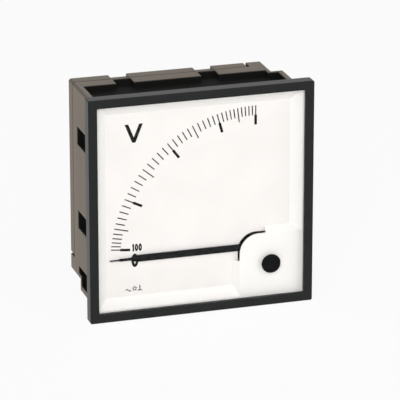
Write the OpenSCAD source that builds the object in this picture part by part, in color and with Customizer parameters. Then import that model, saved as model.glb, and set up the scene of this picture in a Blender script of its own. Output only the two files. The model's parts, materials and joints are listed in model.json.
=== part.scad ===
// Panel voltmeter with a moving-iron movement, a square front frame and a 90 degree scale.
// X runs to the right, Y into the panel and Z up. The origin is the centre of the frame's
// rear face, where the frame bears on the panel. The scale's pivot sits low on the right.

/* [Front frame] */
// Side of the square front frame
front_w = 96; // [92:1:112]
// Width of the frame's bar seen from the front
front_bar = 3.8; // [3.4:0.1:5]
// Depth of the frame in front of the panel
front_d = 5.5; // [5.2:0.1:8]
// Depth of the lip in front of the window
lip_d = 1.7; // [1.2:0.1:2]
// Wall of the frame beside the window
front_wall = 2.8; // [2.6:0.1:3]
// Radius of the frame's outer corners
front_r = 0.8; // [0.5:0.1:4]
// Depth of the case's seat in the frame's rear face
seat_d = 0.4; // [0.3:0.1:0.8]

/* [Window and mask] */
// Thickness of the window
glass_t = 1.8; // [1.5:0.1:2]
// Thickness of the mask's rim behind the window
flange_t = 0.8; // [0.6:0.1:1]
// Width of the mask's rim that the window bears on
flange_w = 1; // [0.8:0.1:2]
// Depth of the mask from the window to the dial
mask_d = 2.8; // [2.6:0.1:4]
// How far the mask's slope runs inwards
mask_slope = 4.6; // [4:0.1:6]
// Thickness of the corner housing's front plate
plate_t = 1; // [0.8:0.1:1.1]
// Distance from the frame's edge to the housing's free edges
housing_w = 30.7; // [29:0.1:34]
// Radius of the housing's free corner
housing_r = 8.3; // [7.5:0.1:10]
// How far the housing's flanks spread towards the dial
flank_run = 2.6; // [2:0.1:3.4]
// Distance of the flanks' free ends from the housing's free edges
flank_from = 11.4; // [10.5:0.1:12]
// Thickness of the housing's flanks
flank_t = 1.2; // [0.8:0.1:1.4]

/* [Dial and pointer] */
// Thickness of the dial sheet
dial_t = 0.8; // [0.5:0.1:1]
// How far the dial's corner cut-out reaches past the housing's plate
dial_gap = 0.15; // [0.1:0.05:0.4]
// Radius of the cut-out's free corner
cut_r = 7.6; // [7:0.1:8]
// Distance of the pivot from the housing's free edges
pivot_in = 5.8; // [5.6:0.1:6.4]
// Distance of the pointer's tip from the frame's edge at zero
tip_edge = 9.8; // [8:0.2:14]
// Width of the pointer's wide bar
bar_w = 2.9; // [2:0.1:3]
// Length over which the bar narrows to the neck
taper_len = 2.8; // [2:0.2:5]
// Length of the pointer's neck
neck_len = 4.8; // [3:0.2:6]
// Width of the pointer's neck
neck_w = 1.1; // [0.8:0.1:1.4]
// Length of the pointer's fine tip
tip_len = 4; // [2:0.2:6]
// Width of the pointer's fine tip
tip_w = 0.5; // [0.3:0.1:0.7]
// Thickness of the pointer
pointer_t = 0.5; // [0.4:0.05:0.6]
// Free space between the housing's plate and the pointer
pointer_gap = 0.5; // [0.4:0.05:0.6]

/* [Case] */
// Step from the frame's edge to the case's side
case_inset = 3.6; // [2.2:0.1:4]
// Depth of the case behind the panel
case_d = 38.5; // [33:0.5:45]
// Wall of the case and of its recesses
wall = 1.8; // [1.4:0.1:2.2]
// Wall of the case's collar inside the frame
collar_wall = 1.6; // [1.2:0.1:1.8]
// Radius of the case's long corners
case_r = 1.2; // [0.6:0.1:2]
// Depth of the recesses in the case's sides
recess_d = 2.6; // [2:0.1:2.8]
// Where the recesses start behind the panel
recess_y = 3.6; // [3.4:0.1:5]
// Length of the recesses along the case
recess_len = 22; // [12:0.5:23]
// Rim left at both ends of the upper and lower recess
rim_w = 3; // [2:0.1:4]
// Width of the notches and of the side recesses
notch_w = 7.6; // [6:0.2:9]
// Distance of the first notch from the frame's upper left corner
notch_first = 24.4; // [22:0.2:27]
// Distance of the second notch from the frame's upper left corner
notch_second = 61; // [58:0.2:64]
// Distance of the last side recess from the frame's upper left corner
notch_last = 85.6; // [84:0.2:86]
// Depth of the notches in the rear cover's rim
rim_notch_d = 1.2; // [0.6:0.1:1.6]
// Depth of the clamp reliefs at two corners
relief_d = 5.6; // [4:0.1:6]
// Where the clamp reliefs start behind the panel
relief_y = 23.5; // [14:0.5:25]
// Length of the clamp reliefs along the case's side
relief_len = 16; // [12:0.5:20]
// Width of the corner posts beside the clamp reliefs
post_w = 6.4; // [5:0.2:8]
// Gap between the corner posts and the rear cover
post_gap = 1; // [0.4:0.1:1.4]

/* [Rear cover] */
// Depth of the rear cover's rim
cover_rim = 6; // [5:0.2:8]
// Thickness of the rear cover's back
cover_t = 2.2; // [1.8:0.1:3]
// Width of the terminal housing
hump_w = 60; // [52:1:66]
// Height of the terminal housing
hump_h = 24; // [20:1:28]
// Depth of the terminal housing behind the cover
hump_d = 8; // [8:0.5:14]
// Height of the terminals above the middle
terminal_z = 14; // [10:0.5:16]
// Distance between the two terminals
terminal_pitch = 32; // [26:1:36]
// Radius of the terminal studs
stud_r = 2; // [1.5:0.1:2.5]
// Length of the studs' free ends behind the clamping nuts
stud_end = 6; // [4:0.5:12]
// Side of the cover's screw blocks
block_w = 6.4; // [6:0.1:6.8]
// Radius of the cover's screws
cover_screw_r = 1.5; // [1.2:0.1:1.6]

/* [Zero adjuster] */
// Radius of the adjuster's head
knob_r = 4.1; // [3.6:0.1:5]
// Thickness of the adjuster's head
knob_t = 0.7; // [0.5:0.1:1.1]
// Radius of the adjuster's stem
stem_r = 2.4; // [2:0.1:2.8]
// Offset of the adjuster from the pivot, sideways and downwards
knob_off = 7.1; // [6.6:0.1:7.4]
// Distance of the adjuster's pin from its own axis
pin_throw = 1.4; // [1:0.1:1.5]
// Radius of the adjuster's pin
pin_r = 0.7; // [0.5:0.05:0.8]
// Thickness of the zero lever
lever_t = 0.6; // [0.5:0.05:0.7]

/* [Movement] */
// Radius of the spindle
spindle_r = 0.6; // [0.5:0.05:0.8]
// Radius of the spindle's pivots
pivot_r = 0.3; // [0.25:0.05:0.35]
// Depth of a pivot in its bearing
pivot_len = 0.7; // [0.6:0.05:0.8]
// Radius of the bearing screws
jewel_r = 1.6; // [1.4:0.1:1.8]
// Distance of the bridge's posts from the pivot
bridge_reach = 7; // [6.9:0.1:7.4]
// Half width of the front bridge and radius of its posts
bridge_half = 1.4; // [1.3:0.1:1.5]
// Radius of the bridge's screws
bridge_screw_r = 0.7; // [0.6:0.05:0.8]
// Thickness of the front bridge
bridge_t = 1.2; // [1:0.1:1.5]
// Radius of the hub
hub_r = 2; // [1.8:0.1:2.2]
// How far the damping chamber reaches past the coil
chamber_rim = 1; // [0.5:0.1:1.4]
// Depth of the damping chamber
chamber_d = 5.4; // [5:0.1:6]
// Wall of the damping chamber
chamber_wall = 0.6; // [0.5:0.05:0.8]
// Thickness of the movement's frame
frame_t = 1.4; // [1:0.1:1.6]
// How far the movement's front plate reaches past the coil
frame_rim = 1.5; // [1:0.1:2]
// Free space between the coil and the case's wall
coil_gap = 3.8; // [3.2:0.1:5]
// Free space between the movement and the cover's back
back_gap = 0.3; // [0.2:0.1:2]
// Inner radius of the bobbin's tube
tube_r = 5.8; // [5.4:0.1:6.4]
// Wall of the bobbin
bobbin_wall = 1; // [0.8:0.1:1.3]
// Thickness of the two irons
iron_t = 0.45; // [0.35:0.05:0.6]
// Angle that the fixed iron covers
fixed_span = 80; // [60:1:100]
// Angle that the moving iron covers
moving_span = 60; // [40:1:70]
// Number of turns of the hairspring
spring_turns = 4; // [3:1:6]

/* [Series resistors] */
// Width of the resistor board
board_w = 50; // [44:1:56]
// Height of the resistor board
board_h = 34; // [30:1:36]
// Thickness of the resistor board
board_t = 1.6; // [1:0.1:2]
// Distance of the board from the cover's back
board_gap = 5.6; // [4:0.1:8]
// Free space between the board and the case's upper wall
board_top = 4.1; // [2:0.1:6]
// Free space between the board and the screw block beside it
board_side = 1.7; // [1:0.1:4]
// Radius of a resistor
resistor_r = 3; // [2:0.1:3.4]
// Length of a resistor
resistor_len = 15; // [10:0.5:16]

/* [Fits] */
// Gap around pieces that are set into each other
fit = 0.2; // [0.1:0.05:0.3]
// Radial clearance of a turning shaft
run_fit = 0.06; // [0.03:0.01:0.09]
// End play between turning pieces and what they bear on
end_play = 0.1; // [0.05:0.05:0.2]
// Gap around pieces that are pressed or screwed together
press_gap = 0.03; // [0.01:0.01:0.05]

/* [Hidden] */
$fn = 48;
eps = 0.5;

// Halves of the squares, from the frame inwards
half = front_w / 2;
rebate_half = half - front_wall;
glass_half = rebate_half - fit;
collar_half = rebate_half - fit;
pocket_half = collar_half - collar_wall;
mask_half = pocket_half - fit;
case_half = half - case_inset;
cavity_half = case_half - recess_d - wall;
mouth_half = glass_half - flange_w;

// Levels behind the frame's rear face
y_front = -front_d;
y_glass = y_front + lip_d;
y_mask = y_glass + glass_t;
y_collar = y_mask + flange_t;
y_plate = y_mask + plate_t;
y_dial = y_mask + mask_d;
y_ledge = y_dial + dial_t;
y_pointer = y_plate + pointer_gap;
y_recess_end = recess_y + recess_len;
y_seam = case_d - cover_rim;
y_back = case_d - cover_t;
y_hump = case_d + hump_d;

// Places on the front
housing_edge = half - housing_w;
pivot = housing_edge + pivot_in;
cut_edge = housing_edge - dial_gap;
knob = pivot + knob_off;
knob_reach = knob_off * sqrt(2);
relief_half = case_half - relief_d;

// Adjuster and lever, from the plate backwards
clip_t = 0.4;
clip_w = 1;
y_clip = y_plate + end_play;
y_stem = y_clip + clip_t + fit;
y_lever = y_stem + 2 * fit;
y_bridge = y_lever + lever_t + fit;
y_jewel = y_lever - fit;
y_bearing = y_bridge + bridge_t + 2 * fit;
y_pin = y_lever + lever_t + fit / 2;
pin_reach = knob_reach + pin_throw;
fork_gap = 0.2;
fork_side = 1.1;
fork_end = 1.6;
lever_ring = 1.5;
spring_stud_r = 0.5;

// The pointer's lengths, from the tip inwards
pointer_len = pivot + half - tip_edge;
tip_start = pointer_len - tip_len;
neck_start = tip_start - neck_len;
bar_len = neck_start - taper_len;

// Moving system, from the front bearing backwards
coil_r = cavity_half - pivot - coil_gap;
frame_r = coil_r + frame_rim;
chamber_r = coil_r + chamber_rim;
jewel_len = y_bearing + pivot_len - y_jewel;
y_shoulder = y_bearing + pivot_len + end_play;
y_spring = y_shoulder + fit;
spring_h = 0.6;
spring_t = 0.15;
spring_gap = 0.75;
spring_in = spindle_r + spring_gap;
turn_steps = 24;
y_hub = y_spring + spring_h + fit;
hub_len = 2;
y_root = y_hub + fit;
root_ring = 0.8;
crank_in = hub_r + root_ring + 2 * fit;
spring_out = crank_in - 2 * fit;
stud_reach = spring_out + spring_t / 2 + fit / 2 + spring_stud_r;
cut_reach = cut_r - sqrt(2) * (cut_edge + cut_r - pivot);
crank_out = min(pivot - cut_edge, cut_reach) - 3 * fit;
tail_r = 5.2;
tail_w = 0.8;
tail_t = 0.6;
weight_r = 0.7;
weight_t = 1.2;
y_chamber = y_hub + hub_len + fit;
y_frame = y_chamber + chamber_wall + chamber_d;
swing = 90;
paddle_t = 0.4;
paddle_gap = 0.6;
paddle_collar = 0.9;
chamber_spare = 20;
chamber_end = 2;
y_coil = y_frame + frame_t;
y_rear = y_back - back_gap - 2 * frame_t;
coil_len = y_rear - y_coil;
web_w = 14;
web_gap = 0.7;
web_out = coil_r + web_gap;
rear_r = 7;
rear_jewel_in = 1.6;
iron_gap = 0.7;
fixed_r = tube_r - press_gap - iron_t;
moving_r = fixed_r - iron_gap - iron_t;
iron_margin = 2;
fixed_from = 20;
tab_w = 2;
winding_depth = 5.8;
ear_w = 9;
ear_low = 5.5;
ear_off = ear_low + ear_w / 2;
ledge_in = cavity_half - pivot - sqrt(coil_r * coil_r - ear_low * ear_low) - 2 * fit;
ledge_len = 7;
ear_hole = cavity_half - ledge_in / 2;
frame_screw_r = 1.2;
screw_head = 1.8;
hole_end = 1;
bearing_rim = 0.7;
bridge_screw_len = 3.6;
bridge_angles = [36, 234];

// Rear fittings
lip_left = 1;
block_lap = 0.1;
y_board = y_back - board_gap - board_t;
board_x = board_w / 2 + block_w + board_side - cavity_half;
board_z = cavity_half - board_top - board_h / 2;
boss_r = 3;
boss_inset = 4;
boss_z = board_z + board_h / 2 - boss_inset;
hex_r = stud_r * 2;
nut_h = stud_r * 1.5;
washer_t = 0.8;
stud_head_t = 2.2;
stud_relief = 0.8;
thread_run = 0.4;
y_clamped = y_hump + 2 * (washer_t + nut_h) + thread_run;
lead_r = 0.5;
wire_r = 0.6;
lead_bend = 6;
lead_drop = 4;
lead_end = 3;

// A flat shape drawn in X and Z, from level y with thickness t
module slab(y, t) {
    translate([0, y + t, 0]) rotate([90, 0, 0]) linear_extrude(height = t) children();
}

// A square with its middle at the origin
module mid_square(h) {
    square(2 * h, center = true);
}

// A square with round corners
module round_square(h, r) {
    square([2 * h, 2 * (h - r)], center = true);
    square([2 * (h - r), 2 * h], center = true);
    for (x = [-1, 1], z = [-1, 1]) translate([x * (h - r), z * (h - r)]) circle(r);
}

// A bar along Y with a round section
module rod(r, y0, y1) {
    translate([0, y0, 0]) rotate([-90, 0, 0]) cylinder(r = r, h = y1 - y0);
}

// A round tube along Y
module sleeve(r_out, r_in, y0, y1) {
    difference() {
        rod(r_out, y0, y1);
        rod(r_in, y0 - eps, y1 + eps);
    }
}

// Puts a child at the pivot
module at_pivot() {
    translate([pivot, 0, -pivot]) children();
}

// Turns a child from the +X direction to an angle counted from +X towards +Z
module aim(angle) {
    rotate([0, -angle, 0]) children();
}

// Draws a child and its mirror image across the line from the upper left to the lower right corner
module both_sides() {
    children();
    mirror([1, 0, 1]) children();
}

// The lower right corner of a square, with its free corner rounded
module corner_field(edge, r, limit) {
    translate([edge + r, -limit]) square([limit - edge - r, limit - edge]);
    translate([edge, -limit]) square([limit - edge, limit - edge - r]);
    translate([edge + r, -edge - r]) circle(r);
}

// A ring sector around Y, from angle a over the given span
module sector(r_out, r_in, y, t, a, span) {
    translate([0, y, 0]) rotate([-90, 0, 0]) rotate([0, 0, -a - span])
        rotate_extrude(angle = span) translate([r_in, 0]) square([r_out - r_in, t]);
}

// The direction of a route of points at point i
function route_way(points, i) = let (last = len(points) - 1,
    d = points[min(i + 1, last)] - points[max(i - 1, 0)]) d / norm(d);

// One ring of a wire around point i of its route
function wire_ring(points, i, r, sides) = let (t = route_way(points, i), u0 = cross(t, [0.3, 0.2, 1]),
    u = u0 / norm(u0), v = cross(t, u))
    [for (k = [0 : sides - 1]) points[i] + r * (cos(360 * k / sides) * u + sin(360 * k / sides) * v)];

// A round wire swept through a list of points
module wire(points, r, sides = 8) {
    n = len(points);
    walls = [for (i = [0 : n - 2], k = [0 : sides - 1])
        let (j = (k + 1) % sides, a = i * sides, b = a + sides)
        each [[a + j, a + k, b + k], [a + j, b + k, b + j]]];
    polyhedron(points = [for (i = [0 : n - 1]) each wire_ring(points, i, r, sides)],
        faces = concat([[for (k = [0 : sides - 1]) k]], walls,
            [[for (k = [sides - 1 : -1 : 0]) (n - 1) * sides + k]]));
}

// Front frame

module bezel() {
    color("#232625") difference() {
        slab(y_front, front_d) round_square(half, front_r);
        slab(y_front - eps, front_d + 2 * eps) mid_square(half - front_bar);
        slab(y_glass, front_d + eps) mid_square(rebate_half);
        slab(-seat_d, seat_d + eps) round_square(case_half + fit, case_r + fit);
    }
}

module window_glass() {
    color("#dfe8e8", 0.3) slab(y_glass, glass_t) difference() {
        mid_square(glass_half);
        translate([knob, -knob]) circle(stem_r + run_fit);
    }
}

// The mask's sloping opening, as the common part of two wedges
module mask_mouth() {
    s = mask_slope / mask_d;
    near = mouth_half + s * eps;
    far = mouth_half - mask_slope - s * eps;
    y0 = y_mask - eps;
    y1 = y_dial + eps;
    wedge = [[-near, y0], [near, y0], [far, y1], [-far, y1]];
    intersection() {
        translate([0, 0, -half]) linear_extrude(height = front_w) polygon(wedge);
        rotate([0, 90, 0]) translate([0, 0, -half]) linear_extrude(height = front_w) polygon(wedge);
    }
}

module housing_flank() {
    x0 = housing_edge;
    x1 = housing_edge - flank_run;
    translate([0, 0, -mask_half]) linear_extrude(height = mask_half - housing_edge - flank_from)
        polygon([[x0, y_mask], [x0 + flank_t, y_mask], [x1 + flank_t, y_dial], [x1, y_dial]]);
}

module dial_mask() {
    color("#f6f5f1") difference() {
        union() {
            difference() {
                union() {
                    slab(y_mask, flange_t) mid_square(glass_half);
                    slab(y_collar, y_dial - y_collar) mid_square(mask_half);
                }
                mask_mouth();
            }
            slab(y_mask, plate_t) corner_field(housing_edge, housing_r, mask_half);
            slab(y_mask, flange_t) corner_field(housing_edge, housing_r, glass_half);
            both_sides() housing_flank();
        }
        translate([knob, 0, -knob]) rod(stem_r + run_fit, y_mask - eps, y_plate + eps);
    }
}

module dial_plate() {
    color("#fbf8f4") slab(y_dial, dial_t) difference() {
        mid_square(mask_half);
        corner_field(cut_edge, cut_r, half);
    }
}

// Case and rear cover

// Distance along a side, counted from the frame's upper left corner
function from_corner(d) = d - half;

// The places of the cover's screws
screw_a = cavity_half - block_w / 2;
screw_b = relief_half - wall - block_w / 2;
screw_spots = [[-screw_a, screw_a], [screw_a, -screw_a], [screw_b, screw_a], [-screw_a, -screw_b]];

// The space that a panel clamp takes at the upper right corner, grown by a margin
module clamp_space(margin) {
    translate([relief_half - margin, relief_y - margin, case_half - relief_len - margin])
        cube([2 * relief_d, case_d, relief_len + 2 * relief_d]);
}

// The upper recess
module upper_recess() {
    translate([-case_half + rim_w, recess_y, case_half - recess_d])
        cube([2 * (case_half - rim_w), recess_len, 2 * recess_d]);
}

// The notches behind the upper recess
module lip_notches() {
    for (d = [notch_first, notch_second])
        translate([from_corner(d) - notch_w / 2, y_recess_end - eps, case_half - recess_d])
            cube([notch_w, y_seam - y_recess_end - lip_left + eps, 2 * recess_d]);
}

// The recesses in the left side
module side_recesses() {
    for (d = [notch_first, notch_second, notch_last])
        translate([-case_half - recess_d, recess_y, -from_corner(d) - notch_w / 2])
            cube([2 * recess_d, recess_len, notch_w]);
}

// The corner post that runs past the seam at the upper right
module corner_post(spare) {
    translate([relief_half - post_w - spare, y_seam - eps, case_half - recess_d - spare])
        cube([post_w + 2 * spare, cover_rim + eps + spare, recess_d + 2 * spare]);
}

module case_shell() {
    difference() {
        union() {
            slab(y_collar, eps - y_collar) mid_square(collar_half);
            slab(-seat_d, y_seam + seat_d) round_square(case_half, case_r);
        }
        slab(y_collar - eps, y_ledge - y_collar + eps) mid_square(pocket_half);
        difference() {
            slab(y_ledge - eps, y_seam - y_ledge + 2 * eps) mid_square(cavity_half);
            both_sides() clamp_space(wall);
        }
        difference() {
            union() {
                for (turn = [0, 180]) rotate([0, turn, 0]) {
                    upper_recess();
                    lip_notches();
                }
                for (side = [0, 1]) mirror([side, 0, 0]) side_recesses();
            }
            both_sides() clamp_space(wall);
        }
        both_sides() clamp_space(0);
    }
}

// A shelf on the right wall that carries the movement's ear
module movement_shelf() {
    translate([cavity_half - ledge_in, y_coil, ear_off - pivot - ear_w / 2])
        cube([ledge_in + eps, ledge_len, ear_w]);
}

// A block for one of the cover's screws, let into the walls beside it
module screw_block() {
    side = block_w + 2 * block_lap;
    translate([-side / 2, 0, -side / 2]) cube([side, y_seam - relief_y + wall, side]);
}

module case() {
    color("#4a463e") difference() {
        union() {
            case_shell();
            intersection() {
                both_sides() corner_post(0);
                slab(0, case_d) round_square(case_half, case_r);
            }
            for (p = screw_spots) translate([p.x, relief_y - wall, p.y]) screw_block();
            both_sides() movement_shelf();
        }
        for (p = screw_spots) translate([p.x, 0, p.y])
            rod(cover_screw_r + press_gap, relief_y, y_seam + eps);
        both_sides() translate([ear_hole, 0, ear_off - pivot])
            rod(frame_screw_r + press_gap, y_coil - eps, y_coil + ledge_len - hole_end);
    }
}

module cover_shell() {
    difference() {
        union() {
            slab(y_seam, cover_rim) round_square(case_half, case_r);
            slab(case_d - eps, hump_d + eps) translate([0, terminal_z])
                square([hump_w, hump_h], center = true);
        }
        difference() {
            slab(y_seam - eps, y_back - y_seam + eps) mid_square(cavity_half);
            both_sides() clamp_space(wall);
        }
        slab(y_back - eps, hump_d + eps) translate([0, terminal_z])
            square([hump_w - 2 * cover_t, hump_h - 2 * cover_t], center = true);
        for (turn = [0, 180], d = [notch_first, notch_second]) rotate([0, turn, 0])
            translate([from_corner(d) - notch_w / 2, y_seam - eps, case_half - rim_notch_d])
                cube([notch_w, cover_rim + 2 * eps, 2 * rim_notch_d]);
        both_sides() clamp_space(0);
        both_sides() corner_post(post_gap);
    }
}

// The two bosses that carry the resistor board
boss_spots = [for (s = [-1, 1]) [board_x + s * (board_w / 2 - boss_inset), boss_z]];

module rear_cover() {
    color("#3f3c36") difference() {
        union() {
            cover_shell();
            for (p = boss_spots) translate([p.x, 0, p.y]) rod(boss_r, y_board + board_t, y_back + eps);
        }
        for (p = boss_spots) translate([p.x, 0, p.y])
            rod(frame_screw_r + press_gap, y_board, y_back - hole_end);
        for (p = screw_spots) translate([p.x, 0, p.y])
            rod(cover_screw_r + press_gap, y_back - eps, case_d + eps);
        for (s = [-1, 1]) translate([s * terminal_pitch / 2, 0, terminal_z])
            rod(stud_r + press_gap, y_hump - cover_t - eps, y_hump + eps);
    }
}

// A screw along Y with a slotted head, its shank running forwards or backwards from level y
module slotted_screw(r, shank, head_h, way) {
    head_r = r * screw_head;
    difference() {
        union() {
            rod(r, min(0, way * shank), max(0, way * shank));
            rod(head_r, min(0, -way * head_h), max(0, -way * head_h));
        }
        translate([-head_r, -way * head_h - head_h / 2, -r / 4]) cube([2 * head_r, head_h, r / 2]);
    }
}

module cover_screws() {
    color("#b9bcbe") for (p = screw_spots) translate([p.x, case_d, p.y])
        slotted_screw(cover_screw_r, case_d - relief_y - hole_end, cover_screw_r, -1);
}

// Zero adjuster

module zero_adjuster() {
    color("#161616") {
        translate([knob, 0, -knob]) {
            difference() {
                rod(knob_r, y_glass - end_play - knob_t, y_glass - end_play);
                translate([-knob_r, y_glass - end_play - 2 * knob_t, -knob_t / 2])
                    cube([2 * knob_r, 1.5 * knob_t, knob_t]);
            }
            rod(stem_r, y_glass - end_play, y_stem);
            aim(-45) translate([pin_throw, 0, 0]) rod(pin_r, y_stem - eps, y_pin);
        }
    }
}

module adjuster_clip() {
    color("#a9adb0") translate([knob, 0, -knob])
        sleeve(stem_r + clip_w, stem_r + press_gap, y_clip, y_clip + clip_t);
}

module zero_lever() {
    ring_in = jewel_r + run_fit;
    arm_half = pin_r + fork_gap + fork_side;
    color("#c8a24a") at_pivot() {
        difference() {
            union() {
                rod(ring_in + lever_ring, y_lever, y_lever + lever_t);
                aim(-45) translate([0, y_lever, -arm_half])
                    cube([pin_reach + fork_end, lever_t, 2 * arm_half]);
            }
            rod(ring_in, y_lever - eps, y_lever + lever_t + eps);
            aim(-45) translate([pin_reach - pin_r - fork_end, y_lever - eps, -pin_r - fork_gap])
                cube([2 * fork_end + 2 * pin_r + eps, lever_t + 2 * eps, 2 * (pin_r + fork_gap)]);
        }
        aim(-45) translate([stud_reach, 0, 0]) rod(spring_stud_r, y_lever, y_spring + spring_h);
    }
}

// The hairspring's flat spiral, from the collar on the spindle out to the lever's stud
function spiral(t, side) = let (r = spring_in + (spring_out - spring_in) * t + side * spring_t / 2,
    a = -45 + 360 * spring_turns * (t - 1)) [r * cos(a), r * sin(a)];

module hairspring() {
    steps = turn_steps * spring_turns;
    color("#7d8896") at_pivot() slab(y_spring, spring_h)
        polygon([for (i = [0 : steps]) spiral(i / steps, 1),
            for (i = [steps : -1 : 0]) spiral(i / steps, -1)]);
}

// Bearings and bridge

module front_bridge() {
    color("#c9b26b") at_pivot() difference() {
        slab(y_bridge, bridge_t) {
            circle(jewel_r + bearing_rim);
            for (a = bridge_angles) rotate(a) {
                translate([0, -bridge_half]) square([bridge_reach, 2 * bridge_half]);
                translate([bridge_reach, 0]) circle(bridge_half);
            }
        }
        rod(jewel_r + press_gap, y_bridge - eps, y_bridge + bridge_t + eps);
        for (a = bridge_angles) aim(a) translate([bridge_reach, 0, 0])
            rod(bridge_screw_r + press_gap, y_bridge - eps, y_bridge + bridge_t + eps);
    }
}

module bridge_posts() {
    color("#c9b26b") at_pivot() for (a = bridge_angles) aim(a) translate([bridge_reach, 0, 0]) difference() {
        rod(bridge_half, y_bridge + bridge_t, y_frame);
        rod(bridge_screw_r + press_gap, y_bridge + bridge_t - eps, y_bridge + bridge_screw_len + hole_end);
    }
}

module bridge_screws() {
    color("#c2c5c7") at_pivot() for (a = bridge_angles) aim(a) translate([bridge_reach, y_bridge, 0])
        slotted_screw(bridge_screw_r, bridge_screw_len, lever_t, 1);
}

// A bearing screw with a bore for the spindle's pivot
module bearing_screw(y0, y1, bore_y0, bore_y1) {
    difference() {
        rod(jewel_r, y0, y1);
        rod(pivot_r + run_fit, bore_y0, bore_y1);
    }
}

module front_bearing() {
    color("#b8862f") at_pivot()
        bearing_screw(y_jewel, y_jewel + jewel_len, y_bearing - end_play, y_jewel + jewel_len + eps);
}

module rear_bearing() {
    y_tip = y_rear - rear_jewel_in;
    color("#b8862f") at_pivot()
        bearing_screw(y_tip, y_rear + 2 * frame_t, y_tip - eps, y_tip + pivot_len + end_play);
}

// Moving system

module spindle() {
    y_tail = y_rear - rear_jewel_in - end_play;
    color("#d3d6d8") at_pivot() {
        rod(pivot_r, y_bearing, y_shoulder + eps);
        rod(spindle_r, y_shoulder, y_tail);
        rod(pivot_r, y_tail - eps, y_tail + end_play + pivot_len);
    }
}

// The pointer lies along -X at zero
module pointer_side() {
    y0 = y_root;
    y1 = y_pointer;
    polygon([[-hub_r, y0], [-crank_in, y0], [-crank_out, y1],
        [-pointer_len, y1], [-pointer_len, y1 + pointer_t],
        [-crank_out - pointer_t / 2, y1 + pointer_t], [-crank_in - pointer_t / 2, y0 + pointer_t],
        [-hub_r, y0 + pointer_t]]);
}

module pointer_plan() {
    polygon([[0, -bar_w / 2], [0, bar_w / 2], [-bar_len, bar_w / 2], [-neck_start, neck_w / 2],
        [-tip_start, neck_w / 2], [-tip_start, tip_w / 2], [-pointer_len, tip_w / 2],
        [-pointer_len, -tip_w / 2], [-tip_start, -tip_w / 2], [-tip_start, -neck_w / 2],
        [-neck_start, -neck_w / 2], [-bar_len, -bar_w / 2]]);
}

module pointer() {
    color("#121212") at_pivot() {
        difference() {
            union() {
                intersection() {
                    translate([0, 0, -bar_w]) linear_extrude(height = 2 * bar_w) pointer_side();
                    slab(y_pointer - eps, y_root - y_pointer + 3 * eps) pointer_plan();
                }
                rod(hub_r + root_ring, y_root, y_root + pointer_t);
            }
            rod(hub_r + press_gap, y_root - eps, y_root + pointer_t + eps);
        }
    }
}

tail_angles = [0, -swing];
y_tail_arm = y_root + pointer_t + fit;

module pointer_hub() {
    color("#8e9499") at_pivot() difference() {
        union() {
            rod(hub_r, y_hub, y_hub + hub_len);
            rod(spring_in - spring_t / 2 - fit / 2, y_spring, y_hub + eps);
            for (a = tail_angles) aim(a) translate([0, y_tail_arm, -tail_w / 2])
                cube([tail_r, tail_t, tail_w]);
        }
        rod(spindle_r + press_gap, y_spring - eps, y_hub + hub_len + eps);
    }
}

// Small weights threaded on the hub's tails
module balance_weights() {
    color("#9a7b3c") at_pivot() for (a = tail_angles) aim(a)
        translate([tail_r - weight_t - fit, y_tail_arm + tail_t / 2, 0]) difference() {
            translate([0, -weight_r, -weight_r]) cube([weight_t, 2 * weight_r, 2 * weight_r]);
            translate([-eps, -tail_t / 2 - press_gap, -tail_w / 2 - press_gap])
                cube([weight_t + 2 * eps, tail_t + 2 * press_gap, tail_w + 2 * press_gap]);
        }
}

module damping_paddle() {
    y0 = y_chamber + chamber_wall + paddle_gap;
    y1 = y_frame - chamber_wall - paddle_gap;
    x0 = spindle_r + paddle_collar / 2;
    color("#c7cacc") at_pivot() {
        sleeve(spindle_r + paddle_collar, spindle_r + press_gap, y0, y1);
        translate([x0, y0, -paddle_t / 2])
            cube([chamber_r - chamber_wall - paddle_gap - x0, y1 - y0, paddle_t]);
    }
}

// Angles that the paddle's chamber covers
chamber_from = -swing - chamber_spare;
chamber_span = swing + 2 * chamber_spare;
chamber_in = hub_r + root_ring;

module damping_chamber() {
    y0 = y_chamber + chamber_wall;
    color("#2b2b2b") at_pivot() {
        sector(chamber_r, chamber_in, y_frame - chamber_wall, chamber_wall, chamber_from, chamber_span);
        sector(chamber_r, chamber_r - chamber_wall, y0, chamber_d, chamber_from, chamber_span);
        for (a = [chamber_from + chamber_end, chamber_from + chamber_span - chamber_end]) intersection() {
            aim(a) translate([chamber_in, y0, -chamber_wall / 2])
                cube([chamber_r - chamber_in, chamber_d, chamber_wall]);
            rod(chamber_r, y0, y_frame);
        }
    }
}

module chamber_cover() {
    color("#39393a") at_pivot()
        sector(chamber_r, chamber_in, y_chamber, chamber_wall, chamber_from, chamber_span);
}

module moving_iron() {
    y0 = y_coil + iron_margin;
    y1 = y_rear - rear_jewel_in - iron_margin;
    color("#7b7f83") at_pivot() difference() {
        union() {
            sector(moving_r + iron_t, moving_r, y0, y1 - y0, -moving_span / 2, moving_span);
            for (y = [y0, y1 - iron_t]) {
                translate([0, y, -tab_w / 2]) cube([moving_r + iron_t / 2, iron_t, tab_w]);
                rod(tab_w / 2 + iron_t, y, y + iron_t);
            }
        }
        rod(spindle_r + press_gap, y0 - eps, y1 + eps);
    }
}

// Fixed part of the movement

module fixed_iron() {
    color("#6d7175") at_pivot()
        sector(fixed_r + iron_t, fixed_r, y_coil + iron_margin, coil_len - 2 * iron_margin,
            fixed_from, fixed_span);
}

module coil_bobbin() {
    w = bobbin_wall;
    r1 = tube_r + w;
    color("#d8cfae") translate([pivot, y_coil, -pivot]) rotate([-90, 0, 0]) rotate_extrude()
        polygon([[tube_r, 0], [coil_r, 0], [coil_r, w], [r1, w], [r1, coil_len - w], [coil_r, coil_len - w],
            [coil_r, coil_len], [tube_r, coil_len]]);
}

module coil_winding() {
    r0 = tube_r + bobbin_wall + press_gap;
    y0 = y_coil + bobbin_wall + press_gap;
    color("#a5561f") at_pivot() sleeve(winding_r, r0, y0, y_rear - bobbin_wall - press_gap);
}

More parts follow.
